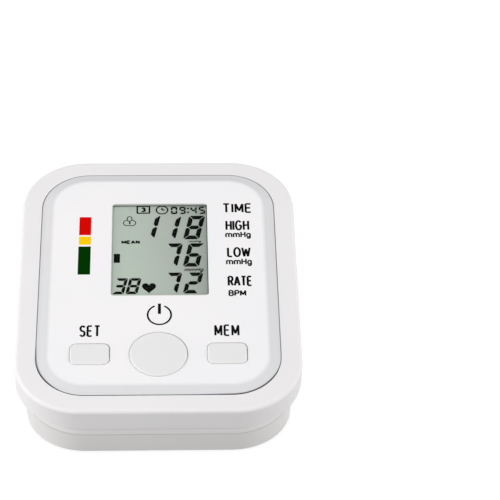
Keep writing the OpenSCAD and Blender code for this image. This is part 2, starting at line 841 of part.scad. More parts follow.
// Cell lying along Y, with its button to the back or to the front by turns
module cell(i) {
    nub = 1.2;
    flip = i % 2;
    color(flip == 0 ? "slategray" : "dimgray")
        translate([cell_x(i), bay_y0 + plate_t + (flip == 0 ? spring_l : cell_l + plate_t), cell_z])
            rotate([flip == 0 ? -90 : 90, 0, 0]) {
                cylinder(d = cell_d, h = cell_l - nub);
                cylinder(r = 2.7, h = cell_l);
            }
}

// Tapered contact spring: touching rings that shrink towards the cell
module cell_springs() {
    rings = 6;
    wire = spring_wire;
    color("silver") for (i = [0:cell_count - 1]) {
        flip = i % 2;
        translate([cell_x(i), flip == 0 ? bay_y0 + plate_t : bay_y1 - plate_t, cell_z])
            rotate([flip == 0 ? -90 : 90, 0, 0]) for (k = [0:rings - 1])
                translate([0, 0, wire + k * (spring_l - 2 * wire - slip) / (rings - 1)])
                    rotate_extrude() translate([(0.35 - 0.028 * k) * cell_d, 0]) circle(wire);
    }
}

module cell_plates() {
    side = 0.7 * cell_d;
    color("silver") for (i = [0:cell_count - 1], y = [bay_y0, bay_y1 - plate_t])
        translate([cell_x(i) - side / 2, y, cell_z - side / 2]) cube([side, plate_t, side]);
}

module battery_door() {
    low = foot_h;
    color("white") difference() {
        intersection() {
            union() {
                translate([bay_x - door_w / 2, door_y0, low]) cube([door_w, door_y1 - door_y0, door_t]);
                translate([bay_x - door_w / 2 - door_tongue, door_y0, low + door_t - tongue_t])
                    cube([door_w + 2 * door_tongue, door_y1 - door_y0, tongue_t]);
            }
            on_face() body_draft(0);
        }
        for (i = [0:grip_count - 1])
            translate([bay_x - grip_w / 2, door_y1 - (4 + i) * grip_pitch, low - cut])
                cube([grip_w, grip_t, cut + grip_t / 2]);
    }
}

module pump_saddles() {
    t = 1.6;
    for (y = [pump_y0 + 2, pump_y0 + head_l - 4, pump_y1 - 4])
        translate([pump_x - pump_d / 2, y, floor_z]) cube([pump_d, t, pump_z - pump_flat / 2 - floor_z]);
    for (y = [pump_y0 + 2, pump_y1 - 4])
        translate([pump_x + pump_d / 2 + 0.2, y, floor_z - cut]) cube([t / 2, t, pump_z - floor_z + cut]);
}

module tower(p) {
    on_face() translate([p[0], p[1], part_w - 0.2 - deep]) cylinder(r = boss_r, h = deep);
}

module tower_bore(p) {
    on_face() translate([p[0], p[1], 0]) {
        translate([0, 0, head_seat - cut]) cylinder(r = screw_r + 0.2, h = deep);
        translate([0, 0, head_seat - deep]) cylinder(r = head_r + 0.3, h = deep);
    }
}

module foot_places() {
    for (x = [-1, 1], place = [[foot_front_x, foot_front_y], [foot_back_x, foot_back_y]])
        translate([x * place[0], place[1], 0]) children();
}

module lower_case() {
    color("white") difference() {
        union() {
            difference() {
                on_face() body_draft(0);
                difference() {
                    on_face() body_draft(wall);
                    below(floor_z);
                }
                on_face() body_plate(wall / 2, part_w - tongue_h - fit, part_w);
            }
            for (p = boss_places) tower(p);
            translate([bay_x - bay_w / 2 - bay_wall, bay_y0 - bay_wall, floor_z - cut])
                cube([bay_w + 2 * bay_wall, bay_l + 2 * bay_wall, bay_top + bay_wall - floor_z + cut]);
            pump_saddles();
            translate([valve_x - valve_size[0] / 3, line_y - barb_l - valve_gap - 0.75 * valve_size[1],
                floor_z - cut])
                cube([valve_size[0] / 1.5, valve_size[1] / 2, line_z - valve_size[2] / 2 - floor_z + cut]);
            for (y = [-1, 1]) translate([port_x - wall - port_board[0], port_y + y * port_board[1] / 3 - 1,
                floor_z - cut])
                cube([port_board[0] / 1.5, 2, port_z - port_h / 2 - port_board[2] - floor_z + cut]);
            translate([socket_x + wall / 2, line_y, line_z]) rotate([0, 90, 0])
                cylinder(r = socket_body_r + 1.2, h = wall / 2 + 1.5);
        }
        below(foot_h);
        for (p = boss_places) tower_bore(p);
        translate([bay_x - bay_w / 2, bay_y0, -cut]) cube([bay_w, bay_l, bay_top + cut]);
        translate([bay_x - bay_w / 2, door_y0 - door_gap, -cut])
            cube([bay_w, case_l, cut + foot_h + door_t + door_gap]);
        translate([bay_x - bay_w / 2 - door_tongue, door_y0 - door_gap,
            foot_h + door_t - tongue_t - door_gap])
            cube([bay_w + 2 * door_tongue, case_l, tongue_t + 2 * door_gap]);
        translate([socket_x - cut, line_y, line_z]) rotate([0, 90, 0])
            cylinder(r = socket_body_r + slip, h = deep / 5);
        translate([socket_x - 2 * cut, line_y, line_z]) rotate([0, 90, 0])
            cylinder(r = socket_flange_r + fit, h = 2 * cut);
        translate([port_x - deep / 10, port_y - port_w / 2 - fit, port_z - port_h / 2 - fit])
            cube([deep / 5, port_w + 2 * fit, port_h + 2 * fit]);
        foot_places() translate([0, 0, -cut]) cylinder(r = foot_d / 2 + fit, h = cut + foot_h + foot_seat);
    }
}

module case_screws() {
    color("silver") on_face() for (p = boss_places) translate([p[0], p[1], head_seat])
        pan_screw(screw_r, screw_l, head_r);
}

module rubber_feet() {
    color("dimgray") foot_places() cylinder(r = foot_d / 2, h = foot_h + foot_seat);
}

upper_case();
face_panel();
lens();
display_glass();
display_holder();
contact_strips();
main_board();
board_screws();
control_chip();
memory_chip();
crystal();
capacitors();
buzzer();
start_switch();
set_switch();
memory_switch();
start_plunger();
set_plunger();
memory_plunger();
start_button();
set_button();
memory_button();
pressure_sensor();
pump_motor();
pump_head();
pump_sleeve();
exhaust_valve();
bleed_valve();
air_manifold();
socket_tube();
pump_tube();
valve_tube();
sensor_tube();
air_socket();
socket_seal();
power_board();
power_port();
port_tongue();
cell(0);  // cell_1
cell(1);  // cell_2
cell(2);  // cell_3
cell(3);  // cell_4
cell_springs();
cell_plates();
battery_door();
lower_case();
case_screws();
rubber_feet();
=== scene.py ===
import json
import math

import bpy
import numpy as np
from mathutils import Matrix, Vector


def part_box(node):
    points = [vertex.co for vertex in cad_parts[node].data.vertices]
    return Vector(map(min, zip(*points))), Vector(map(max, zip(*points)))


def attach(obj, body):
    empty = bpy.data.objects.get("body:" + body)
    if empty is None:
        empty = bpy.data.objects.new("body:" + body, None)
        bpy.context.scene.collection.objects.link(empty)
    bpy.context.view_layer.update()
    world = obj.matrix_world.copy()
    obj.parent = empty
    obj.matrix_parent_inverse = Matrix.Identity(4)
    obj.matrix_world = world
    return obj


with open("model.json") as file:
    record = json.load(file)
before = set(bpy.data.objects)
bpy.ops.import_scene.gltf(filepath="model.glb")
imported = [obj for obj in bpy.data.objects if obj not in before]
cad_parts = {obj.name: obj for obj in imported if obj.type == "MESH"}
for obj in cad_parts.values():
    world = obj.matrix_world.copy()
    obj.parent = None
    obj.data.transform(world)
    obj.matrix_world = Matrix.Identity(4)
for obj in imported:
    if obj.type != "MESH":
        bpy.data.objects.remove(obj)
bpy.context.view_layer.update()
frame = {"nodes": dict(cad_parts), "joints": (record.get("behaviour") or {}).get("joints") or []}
nodes = frame["nodes"]
mm = 0.001
print("frame loaded,", len(nodes), "nodes")


# The slanted face, read from the frame: the buttons are pushed straight into it
def nodePoints(name):
    mesh = nodes[name].data
    points = np.empty(len(mesh.vertices) * 3)
    mesh.vertices.foreach_get("co", points)
    return points.reshape(-1, 3)


push = next(joint["axis"] for joint in frame["joints"] if joint["name"] == "start_press")
faceOut = -np.array(push) / np.linalg.norm(push)
faceRight = np.array([1.0, 0.0, 0.0])
faceUp = np.cross(faceOut, faceRight)
faceTilt = math.atan2(faceUp[2], faceUp[1])
panelUp = nodePoints("face_panel") @ faceUp
panelOut = nodePoints("face_panel") @ faceOut
faceMiddle = faceUp * (panelUp.min() + panelUp.max()) / 2 + faceOut * panelOut.max()


# Point of the face: right, up the slope and out of its flat top, in millimetres
def onFace(right, up, out):
    return faceMiddle + mm * (np.outer(right, faceRight) + np.outer(up, faceUp) + np.outer(out, faceOut))


# Lowest and highest place of a node in the face's own three directions, in millimetres
def faceBox(name):
    shares = (nodePoints(name) - faceMiddle) @ np.array([faceRight, faceUp, faceOut]).T / mm
    return shares.min(0), shares.max(0)


camera = {
    "place": (3.7, -679.2, 604.9),   # mm
    "turn": (50.73, -1.10, -1.81),   # degrees
    "lens": 161.9,
    "sensor": 36,
}


def placeCamera(values):
    data = bpy.data.cameras.new("photoCamera")
    data.lens = values["lens"]
    data.sensor_width = values["sensor"]
    eye = bpy.data.objects.new("photoCamera", data)
    eye.location = Vector(values["place"]) * mm
    eye.rotation_euler = [math.radians(angle) for angle in values["turn"]]
    bpy.context.scene.collection.objects.link(eye)
    bpy.context.scene.camera = eye


placeCamera(camera)
print("camera placed")


# Node helpers: every finish below is built with them
def newMaterial(name):
    material = bpy.data.materials.new(name)
    material.use_nodes = True
    tree = material.node_tree
    shader = tree.nodes["Principled BSDF"]
    coords = tree.nodes.new("ShaderNodeTexCoord")
    return material, tree, shader, coords.outputs["Object"]


def joinNodes(tree, source, target):
    tree.links.new(source, target)


def noiseOf(tree, place, scale, detail):
    noise = tree.nodes.new("ShaderNodeTexNoise")
    noise.inputs["Scale"].default_value = scale
    noise.inputs["Detail"].default_value = detail
    joinNodes(tree, place, noise.inputs["Vector"])
    return noise.outputs["Fac"]


# Value carried from one span to another, and held at its ends
def spread(tree, value, low, high, fromLow=0.0, fromHigh=1.0):
    ranged = tree.nodes.new("ShaderNodeMapRange")
    ranged.inputs["From Min"].default_value = fromLow
    ranged.inputs["From Max"].default_value = fromHigh
    ranged.inputs["To Min"].default_value = low
    ranged.inputs["To Max"].default_value = high
    joinNodes(tree, value, ranged.inputs["Value"])
    return ranged.outputs["Result"]


def mathOf(tree, kind, *values):
    node = tree.nodes.new("ShaderNodeMath")
    node.operation = kind
    for socket, value in zip(node.inputs, values):
        if isinstance(value, bpy.types.NodeSocket):
            joinNodes(tree, value, socket)
        else:
            socket.default_value = value
    return node.outputs[0]


# Screen colour out of 255 as the linear value that a shader takes
def linear(colour):
    share = np.array(colour) / 255
    light = np.where(share <= 0.04045, share / 12.92, ((share + 0.055) / 1.055) ** 2.4)
    return (*light, 1.0)


def blendColours(tree, amount, first, second):
    mix = tree.nodes.new("ShaderNodeMix")
    mix.data_type = "RGBA"
    joinNodes(tree, amount, mix.inputs["Factor"])
    for socket, colour in ((mix.inputs["A"], first), (mix.inputs["B"], second)):
        if isinstance(colour, bpy.types.NodeSocket):
            joinNodes(tree, colour, socket)
        else:
            socket.default_value = linear(colour)
    return mix.outputs["Result"]


def colourShader(tree, shader, amount, first, second):
    joinNodes(tree, blendColours(tree, amount, first, second), shader.inputs["Base Color"])


def roughenShader(tree, shader, noise, lowest, highest):
    joinNodes(tree, spread(tree, noise, lowest, highest), shader.inputs["Roughness"])


# Bump from a height of 0 to 1, whose depth is in millimetres
def bumpInto(tree, shader, height, depth, strength):
    bump = tree.nodes.new("ShaderNodeBump")
    bump.inputs["Distance"].default_value = depth * mm
    bump.inputs["Strength"].default_value = strength
    joinNodes(tree, height, bump.inputs["Height"])
    joinNodes(tree, bump.outputs["Normal"], shader.inputs["Normal"])


# The three numbers of a place, each as a socket of its own
def partsOf(tree, place):
    split = tree.nodes.new("ShaderNodeSeparateXYZ")
    joinNodes(tree, place, split.inputs[0])
    return list(split.outputs)


# Place in the face's own frame, from the middle of the face, in metres
def facePlace(tree, place):
    mapping = tree.nodes.new("ShaderNodeMapping")
    mapping.vector_type = "TEXTURE"
    mapping.inputs["Location"].default_value = faceMiddle
    mapping.inputs["Rotation"].default_value = (faceTilt, 0, 0)
    joinNodes(tree, place, mapping.inputs["Vector"])
    return mapping.outputs["Vector"]


# What a second coat on a finish starts from: its nodes, its shader, its colour so far, and the place across,
# along and out of the face, in metres
def reopenFinish(material):
    tree = material.node_tree
    shader = tree.nodes["Principled BSDF"]
    coords = next(node for node in tree.nodes if node.type == "TEX_COORD")
    base = shader.inputs["Base Color"].links[0].from_socket
    return tree, shader, base, partsOf(tree, facePlace(tree, coords.outputs["Object"]))


# Distance inside a rounded outline: the radius, less the length of what lies past the corner circles'
# middles, or, where nothing does, plus how far the nearer of the two lines through them is
def insideOutline(tree, place, halves, radius):
    past = [mathOf(tree, "SUBTRACT", mathOf(tree, "ABSOLUTE", part), half - radius)
            for part, half in zip(place, halves)]
    corner = [mathOf(tree, "MAXIMUM", part, 0.0) for part in past]
    squares = [mathOf(tree, "MULTIPLY", part, part) for part in corner]
    length = mathOf(tree, "SQRT", mathOf(tree, "ADD", *squares))
    flat = mathOf(tree, "MINIMUM", mathOf(tree, "MAXIMUM", *past), 0.0)
    return mathOf(tree, "SUBTRACT", radius, mathOf(tree, "ADD", length, flat))


plasticTexture = {
    "cloudScale": 22,
    "cloudEdges": (0.35, 0.65),
    "satinScale": 180,
    "smoother": 0.04,
    "rougher": 0.05,
    "grainScale": 5200,
    "grainStrength": 0.5,
}


# Moulded plastic: faint cloudy colour, satin roughness and the fine grain of a spark-eroded mould
def mouldedPlastic(name, colour, shade, rough, grain=0.006, gloss=0.5):
    texture = plasticTexture
    material, tree, shader, place = newMaterial(name)
    cloud = spread(tree, noiseOf(tree, place, texture["cloudScale"], detail=3), 0, 1, *texture["cloudEdges"])
    colourShader(tree, shader, cloud, colour, shade)
    satin = noiseOf(tree, place, texture["satinScale"], detail=2)
    roughenShader(tree, shader, satin, rough - texture["smoother"], rough + texture["rougher"])
    pits = noiseOf(tree, place, texture["grainScale"], detail=2)
    bumpInto(tree, shader, pits, grain, texture["grainStrength"])
    shader.inputs["Specular IOR Level"].default_value = gloss
    return material


inkTexture = {
    "patchScale": 700,
    "satinScale": 1500,
    "smoother": 0.05,
    "rougher": 0.08,
    "grainScale": 4000,
    "grain": 0.003,
    "grainStrength": 0.3,
}


# Printed ink: flat colour that is a little uneven, with a slightly raised grain and no gloss
def printedInk(name, colour, shade, rough=0.45):
    texture = inkTexture
    material, tree, shader, place = newMaterial(name)
    colourShader(tree, shader, noiseOf(tree, place, texture["patchScale"], detail=3), colour, shade)
    satin = noiseOf(tree, place, texture["satinScale"], detail=2)
    roughenShader(tree, shader, satin, rough - texture["smoother"], rough + texture["rougher"])
    grain = noiseOf(tree, place, texture["grainScale"], detail=2)
    bumpInto(tree, shader, grain, texture["grain"], texture["grainStrength"])
    shader.inputs["Specular IOR Level"].default_value = 0.0
    return material


metalTexture = {
    "scratchScale": 600,
    "scratchShade": 0.9,
    "smoother": 0.06,
    "rougher": 0.1,
    "scratchDepth": 0.008,
    "scratchStrength": 0.3,
}


# Plated or turned metal: fine stretched scratches in colour, roughness and bump
def platedMetal(name, colour, rough, stretch=(1, 1, 14)):
    texture = metalTexture
    material, tree, shader, place = newMaterial(name)
    mapping = tree.nodes.new("ShaderNodeMapping")
    mapping.inputs["Scale"].default_value = stretch
    joinNodes(tree, place, mapping.inputs["Vector"])
    scratch = noiseOf(tree, mapping.outputs["Vector"], texture["scratchScale"], detail=4)
    colourShader(tree, shader, scratch, colour, [part * texture["scratchShade"] for part in colour])
    roughenShader(tree, shader, scratch, rough - texture["smoother"], rough + texture["rougher"])
    shader.inputs["Metallic"].default_value = 1.0
    bumpInto(tree, shader, scratch, texture["scratchDepth"], texture["scratchStrength"])
    return material


rubberTexture = {
    "patchScale": 160,
    "pebbleScale": 2200,
    "pebbleDepth": 0.02,
    "pebbleStrength": 0.5,
}


# Rubber and silicone: matt, with a soft sheen and a pebbled bump
def softRubber(name, colour, shade, rough, sheen=0.2):
    texture = rubberTexture
    material, tree, shader, place = newMaterial(name)
    colourShader(tree, shader, noiseOf(tree, place, texture["patchScale"], detail=4), colour, shade)
    shader.inputs["Roughness"].default_value = rough
    shader.inputs["Sheen Weight"].default_value = sheen
    pebbles = noiseOf(tree, place, texture["pebbleScale"], detail=3)
    bumpInto(tree, shader, pebbles, texture["pebbleDepth"], texture["pebbleStrength"])
    return material


panelLook = {
    "middle": (241, 239, 240),
    "cloud": (238, 237, 239),
    # painted shade: grey laid over the sloping bevel
    "bevel": (214, 214, 216),
    # painted shadow of the seam between panel and rim: the panel's edge turns near black below the seam's
    # depth
    "edge": (4, 4, 5),
    "bevelWidth": 4.8,
    "bevelFade": (-1.3, 0.3),    # from and to how far past that width its grey fades out
    "cornerRadius": 18.8,
    "seamDepth": 1.0,            # depth at which the dark foot of the edge starts, where it isn't lifted
    "seamFade": 0.06,
    "seamLift": 0.055,
    "seamCorners": (
        {"across": 0.45, "along": -1, "start": 63, "end": 71},        # the front edge and its right corner
        {"across": -1.2, "along": -0.5, "start": 71, "end": 76},      # the left corner
    ),
    "roughness": 0.46,
    "grain": 0.003,
    "gloss": 0.3,
}


# Face panel: bright printed middle, a grey band of painted shade over the bevel where it slopes down, and
# painted shadow of the seam on its edge: a dark foot, which stands higher along the front and at its two
# corners, where the panel's seam looks widest
def panelPlastic(values):
    material = mouldedPlastic("panelPlastic", values["middle"], values["cloud"], values["roughness"],
                              values["grain"], values["gloss"])
    tree, shader, base, (across, along, depth) = reopenFinish(material)
    low, high = faceBox("face_panel")
    halves = high[0] * mm, (high[1] - low[1]) / 2 * mm
    inside = insideOutline(tree, (across, along), halves, values["cornerRadius"] * mm)
    fade = [(values["bevelWidth"] + way) * mm for way in values["bevelFade"]]
    bevelled = blendColours(tree, spread(tree, inside, 0, 1, *fade), values["bevel"], base)
    lifts = []
    for corner in values["seamCorners"]:
        towards = mathOf(tree, "ADD", mathOf(tree, "MULTIPLY", across, corner["across"]),
                         mathOf(tree, "MULTIPLY", along, corner["along"]))
        reach = corner["start"] * mm, corner["end"] * mm
        lifts.append(spread(tree, towards, 0, values["seamLift"] * mm, *reach))
    level = mathOf(tree, "SUBTRACT", depth, mathOf(tree, "MAXIMUM", *lifts))
    seamStart = values["seamDepth"] + values["seamFade"]
    # painted seam shadow: below this level the edge takes the near black colour
    inSeamShadow = spread(tree, level, 1, 0, -seamStart * mm, -values["seamDepth"] * mm)
    colourShader(tree, shader, inSeamShadow, bevelled, values["edge"])
    return material


shellLook = {
    "colour": (233, 231, 232),
    "cloud": (231, 229, 230),
    # painted light: the belt is a little brighter than the shell, as a lit step would be
    "beltLight": (236, 234, 233),
    "beltTop": -13.7,            # level of the belt's upper end, from the face's flat top
    # painted shade: the dark line at the belt's top, as the shadow of a groove
    "beltShadeLine": (205, 203, 202),
    "lineWidth": 0.5,
    "lineCore": 0.4,             # share of the line that has its full strength
    "lineStrength": 0.55,
    "roughness": 0.5,
    "grain": 0.008,
    "gloss": 0.35,
}


# Upper shell: a faint line of painted shade and, below it, a slightly brighter belt of painted light run
# round it above the parting line
def beltedPlastic(values):
    material = mouldedPlastic("upperPlastic", values["colour"], values["cloud"], values["roughness"],
                              values["grain"], values["gloss"])
    tree, shader, base, (_, _, depth) = reopenFinish(material)
    top, half = values["beltTop"] * mm, values["lineWidth"] / 2 * mm
    beltLit = blendColours(tree, spread(tree, depth, 1, 0, top - half, top + half), base, values["beltLight"])
    off = mathOf(tree, "ABSOLUTE", mathOf(tree, "SUBTRACT", depth, top))
    onShadeLine = spread(tree, off, values["lineStrength"], 0, half * values["lineCore"], half)
    colourShader(tree, shader, onShadeLine, beltLit, values["beltShadeLine"])
    return material


displayLook = {
    # painted shade: the film is lighter low on the left and darker up and to the right
    "litSide": (190, 203, 190),
    "far": (163, 170, 164),
    "slant": 0.12,               # share of the way up that the fade takes besides the way across
    "fade": (-12, 24),
    "speckScale": 2600,
    "speck": 0.12,
    "roughness": 0.38,
    "grainScale": 3800,
    "grain": 0.004,
    "grainStrength": 0.4,
}


# Reflective display: a grey-green film with painted shade that darkens it up and to the right, and a fine
# sparkle
def displayFilm(values):
    material, tree, shader, place = newMaterial("displayFilm")
    across, along, _ = partsOf(tree, facePlace(tree, place))
    way = mathOf(tree, "ADD", across, mathOf(tree, "MULTIPLY", along, values["slant"]))
    slope = spread(tree, way, 0, 1, *(end * mm for end in values["fade"]))
    sparkle = noiseOf(tree, place, values["speckScale"], detail=2)
    amount = mathOf(tree, "ADD", slope, spread(tree, sparkle, -values["speck"], values["speck"]))
    amount.node.use_clamp = True
    colourShader(tree, shader, amount, values["litSide"], values["far"])
    shader.inputs["Roughness"].default_value = values["roughness"]
    grain = noiseOf(tree, place, values["grainScale"], detail=2)
    bumpInto(tree, shader, grain, values["grain"], values["grainStrength"])
    return material


windowLook = {
    "tint": (30, 34, 31),
    "alpha": 0.04,
    "hairlineScale": 900,
    "roughness": (0.02, 0.09),
}


# Clear window: almost all light goes through, and the rest is a faint gloss with dust-fine hairlines
def clearWindow(values):
    material, tree, shader, place = newMaterial("clearWindow")
    shader.inputs["Base Color"].default_value = linear(values["tint"])
    shader.inputs["Alpha"].default_value = values["alpha"]
    roughenShader(tree, shader, noiseOf(tree, place, values["hairlineScale"], detail=3), *values["roughness"])
    return material


windowFlange = 1.8   # mm of the window that lie under the panel, all round

windowShadeLook = {
    "wall": (196, 201, 196),
    "cloud": (190, 195, 190),
    "roughness": 0.6,
    # painted shadow line on the glass at the window's edge
    "foot": (40, 43, 41),
    "footHeight": 0.42,
    "footFade": 0.05,
    # painted shade of the right side and of the upper left
    "side": (24, 26, 25),
    "sideWidth": 0.4,
    "sideFade": 0.1,
    "leftStrength": 0.45,        # how dark the left side is at its lower part
    "leftRise": (14, 22),        # from where to where up the face it turns fully dark
    "middleFade": 1,
}


# Ring of the window: pale wall, and a dark foot on the glass that is the painted shadow line at the window's
# edge.
# Its right side and the upper part of its left one are painted shade, dark all the way up
def windowEdgeShade(values):
    material = softRubber("windowEdgeShade", values["wall"], values["cloud"], values["roughness"], sheen=0.0)
    tree, shader, base, (across, along, depth) = reopenFinish(material)
    foot, blur = faceBox("display_glass")[1][2] + values["footHeight"], values["footFade"]
    onFoot = spread(tree, depth, 1, 0, (foot - blur) * mm, (foot + blur) * mm)
    reach = faceBox("lens")[1][0] - windowFlange - values["sideWidth"]
    fullReach = reach + values["sideFade"]
    onSide = spread(tree, mathOf(tree, "ABSOLUTE", across), 0, 1, reach * mm, fullReach * mm)
    onRight = spread(tree, across, 0, 1, -values["middleFade"] * mm, values["middleFade"] * mm)
    upper = spread(tree, along, values["leftStrength"], 1, *(end * mm for end in values["leftRise"]))
    side = mathOf(tree, "MULTIPLY", onSide, mathOf(tree, "MAXIMUM", onRight, upper))
    walled = blendColours(tree, side, base, values["side"])
    colourShader(tree, shader, onFoot, walled, values["foot"])
    return material


boardLook = {
    "mask": (14, 82, 44),
    "trace": (30, 112, 62),
    "runScales": {"X": 150, "Y": 105},
    "distortion": 1.6,
    "detailScale": 0.4,
    "runEdges": (0.72, 0.8),
    "patchScale": 90,
    "patchEdges": (0.48, 0.52),
    "roughness": 0.3,
    "relief": 0.03,
    "reliefStrength": 0.6,
}


# Circuit board: solder mask over copper, whose runs show as lighter stripes of two crossing directions
def circuitBoard(values):
    material, tree, shader, place = newMaterial("circuitBoard")
    runs = []
    for direction, scale in values["runScales"].items():
        wave = tree.nodes.new("ShaderNodeTexWave")
        wave.bands_direction = direction
        wave.inputs["Scale"].default_value = scale
        wave.inputs["Distortion"].default_value = values["distortion"]
        wave.inputs["Detail Scale"].default_value = values["detailScale"]
        joinNodes(tree, place, wave.inputs["Vector"])
        runs.append(spread(tree, wave.outputs["Fac"], 0, 1, *values["runEdges"]))
    patch = spread(tree, noiseOf(tree, place, values["patchScale"], detail=1), 0, 1, *values["patchEdges"])
    copper = mathOf(tree, "ADD", mathOf(tree, "MULTIPLY", runs[0], patch),
                    mathOf(tree, "MULTIPLY", runs[1], mathOf(tree, "SUBTRACT", 1.0, patch)))
    colourShader(tree, shader, copper, values["mask"], values["trace"])
    shader.inputs["Roughness"].default_value = values["roughness"]
    bumpInto(tree, shader, copper, values["relief"], values["reliefStrength"])
    return material


# Plain finishes: colour, the shade that clouds it, roughness, and the grain in mm, the gloss, the sheen or
# the stretch where it differs from the usual
plasticLooks = {
    # the lower shell is a few steps darker than the upper one: painted shade of its walls, which face a
    # little downward
    "lowerPlastic": {"colour": (229, 227, 226), "shade": (226, 224, 223), "rough": 0.5, "grain": 0.008,
                     "gloss": 0.35},
    "buttonPlastic": {"colour": (229, 228, 228), "shade": (227, 226, 226), "rough": 0.46, "gloss": 0.35},
    "holderPlastic": {"colour": (206, 206, 200), "shade": (200, 200, 194), "rough": 0.5},
    "mouldedEpoxy": {"colour": (34, 34, 36), "shade": (30, 30, 32), "rough": 0.55, "grain": 0.01},
    "valvePlastic": {"colour": (66, 104, 152), "shade": (60, 97, 145), "rough": 0.42},
    "bleedPlastic": {"colour": (214, 122, 46), "shade": (206, 115, 42), "rough": 0.45},
    "airPlastic": {"colour": (226, 222, 206), "shade": (220, 216, 200), "rough": 0.45},
    "socketPlastic": {"colour": (150, 151, 153), "shade": (145, 146, 148), "rough": 0.4},
}
rubberLooks = {
    "blackRubber": {"colour": (34, 34, 35), "shade": (28, 28, 29), "rough": 0.75},
    "footRubber": {"colour": (92, 92, 94), "shade": (84, 84, 86), "rough": 0.8},
    "siliconeTube": {"colour": (214, 213, 208), "shade": (206, 205, 200), "rough": 0.42, "sheen": 0.05},
    "motorFoam": {"colour": (58, 58, 60), "shade": (50, 50, 52), "rough": 0.9, "sheen": 0.5},
}
metalLooks = {
    "platedSteel": {"colour": (198, 198, 200), "rough": 0.3},
    "motorCan": {"colour": (186, 188, 190), "rough": 0.36, "stretch": (14, 1, 14)},
}
inkLooks = {
    "displaySegment": {"colour": (9, 11, 9), "shade": (14, 16, 13), "rough": 0.5},
    "blackInk": {"colour": (16, 15, 17), "shade": (22, 21, 23)},
    "redInk": {"colour": (216, 7, 3), "shade": (208, 10, 6)},
    "yellowInk": {"colour": (250, 206, 13), "shade": (246, 200, 18)},
    "greenInk": {"colour": (2, 48, 1), "shade": (4, 54, 6)},
}

finishes = {
    "panelPlastic": panelPlastic(panelLook),
    "upperPlastic": beltedPlastic(shellLook),
    "displayFilm": displayFilm(displayLook),
    "clearWindow": clearWindow(windowLook),
    "windowEdgeShade": windowEdgeShade(windowShadeLook),
    "circuitBoard": circuitBoard(boardLook),
}
for makeFinish, looks in ((mouldedPlastic, plasticLooks), (softRubber, rubberLooks),
                          (platedMetal, metalLooks), (printedInk, inkLooks)):
    for name, values in looks.items():
        finishes[name] = makeFinish(name, **values)
print("finishes made,", len(finishes))

nodeFinish = {
    "lowerPlastic": ("lower_case", "battery_door"),
    "upperPlastic": ("upper_case",),
    "panelPlastic": ("face_panel",),
    "buttonPlastic": ("start_button", "set_button", "memory_button"),
    "clearWindow": ("lens",),
    "displayFilm": ("display_glass",),
    "holderPlastic": ("display_holder",),
    "blackRubber": ("contact_strips", "socket_seal", "port_tongue", "start_plunger", "set_plunger",
                    "memory_plunger"),
    "footRubber": ("rubber_feet",),
    "circuitBoard": ("main_board", "power_board"),
    "platedSteel": ("board_screws", "case_screws", "crystal", "cell_springs", "cell_plates", "power_port"),
    "motorCan": ("pump_motor",),
    "mouldedEpoxy": ("control_chip", "memory_chip", "buzzer", "capacitors", "start_switch", "set_switch",
                     "memory_switch"),
    "valvePlastic": ("exhaust_valve",),
    "bleedPlastic": ("bleed_valve",),
    "airPlastic": ("pump_head", "air_manifold", "pressure_sensor"),
    "siliconeTube": ("socket_tube", "pump_tube", "valve_tube", "sensor_tube"),
    "socketPlastic": ("air_socket",),
    "motorFoam": ("pump_sleeve",),
}


def finishNode(name, material):
    slots = nodes[name].data.materials
    slots.clear()
    slots.append(material)


for finish, names in nodeFinish.items():
    for name in names:
        finishNode(name, finishes[finish])

cellLook = {
    "colours": ((58, 64, 74), (74, 66, 58)),
    "collar": (196, 168, 96),
    "collarWidth": 12,
    "collarFade": 0.2,
    "collarFromButton": 8,
    "roughness": (0.22, 0.34),
    "satinScale": 400,
    "metallic": 0.5,
}


# Printed sleeve of a cell: a plain dark foil with a lighter collar near one end, told by place along the cell
def cellSleeve(name, values, colour, at):
    material, tree, shader, place = newMaterial(name)
    off = mathOf(tree, "ABSOLUTE", mathOf(tree, "SUBTRACT", partsOf(tree, place)[1], at))
    half = values["collarWidth"] / 2 * mm
    inBand = spread(tree, off, 1, 0, half - values["collarFade"] * mm, half)
    colourShader(tree, shader, inBand, colour, values["collar"])
    roughenShader(tree, shader, noiseOf(tree, place, values["satinScale"], detail=2), *values["roughness"])
    shader.inputs["Metallic"].default_value = values["metallic"]
    return material


# The cells lie head to tail, so every other one has its collar at the other end
def finishCells(values):
    for turn in range(4):
        low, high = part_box(f"cell_{turn + 1}")
        inward = values["collarFromButton"] * mm
        at = high.y - inward if turn % 2 == 0 else low.y + inward
        colour = values["colours"][turn % 2]
        finishNode(f"cell_{turn + 1}", cellSleeve(f"cellSleeve{turn + 1}", values, colour, at))


finishCells(cellLook)
print("nodes finished")


def makeMesh(name, points, faces, material, body="housing"):
    mesh = bpy.data.meshes.new(name)
    mesh.from_pydata(points.tolist(), [], faces)
    mesh.validate()
    mesh.materials.append(material)
    piece = bpy.data.objects.new(name, mesh)
    bpy.context.scene.collection.objects.link(piece)
    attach(piece, body)


# Faces between closed rings of equal length, where ring i holds points i * count to (i + 1) * count - 1
def ringFaces(rings, count):
    lower, around = np.meshgrid(np.arange(rings - 1), np.arange(count), indexing="ij")
    lower, around = lower.ravel(), around.ravel()
    after = (around + 1) % count
    return np.stack([lower * count + around, lower * count + after,
                     (lower + 1) * count + after, (lower + 1) * count + around], axis=1)


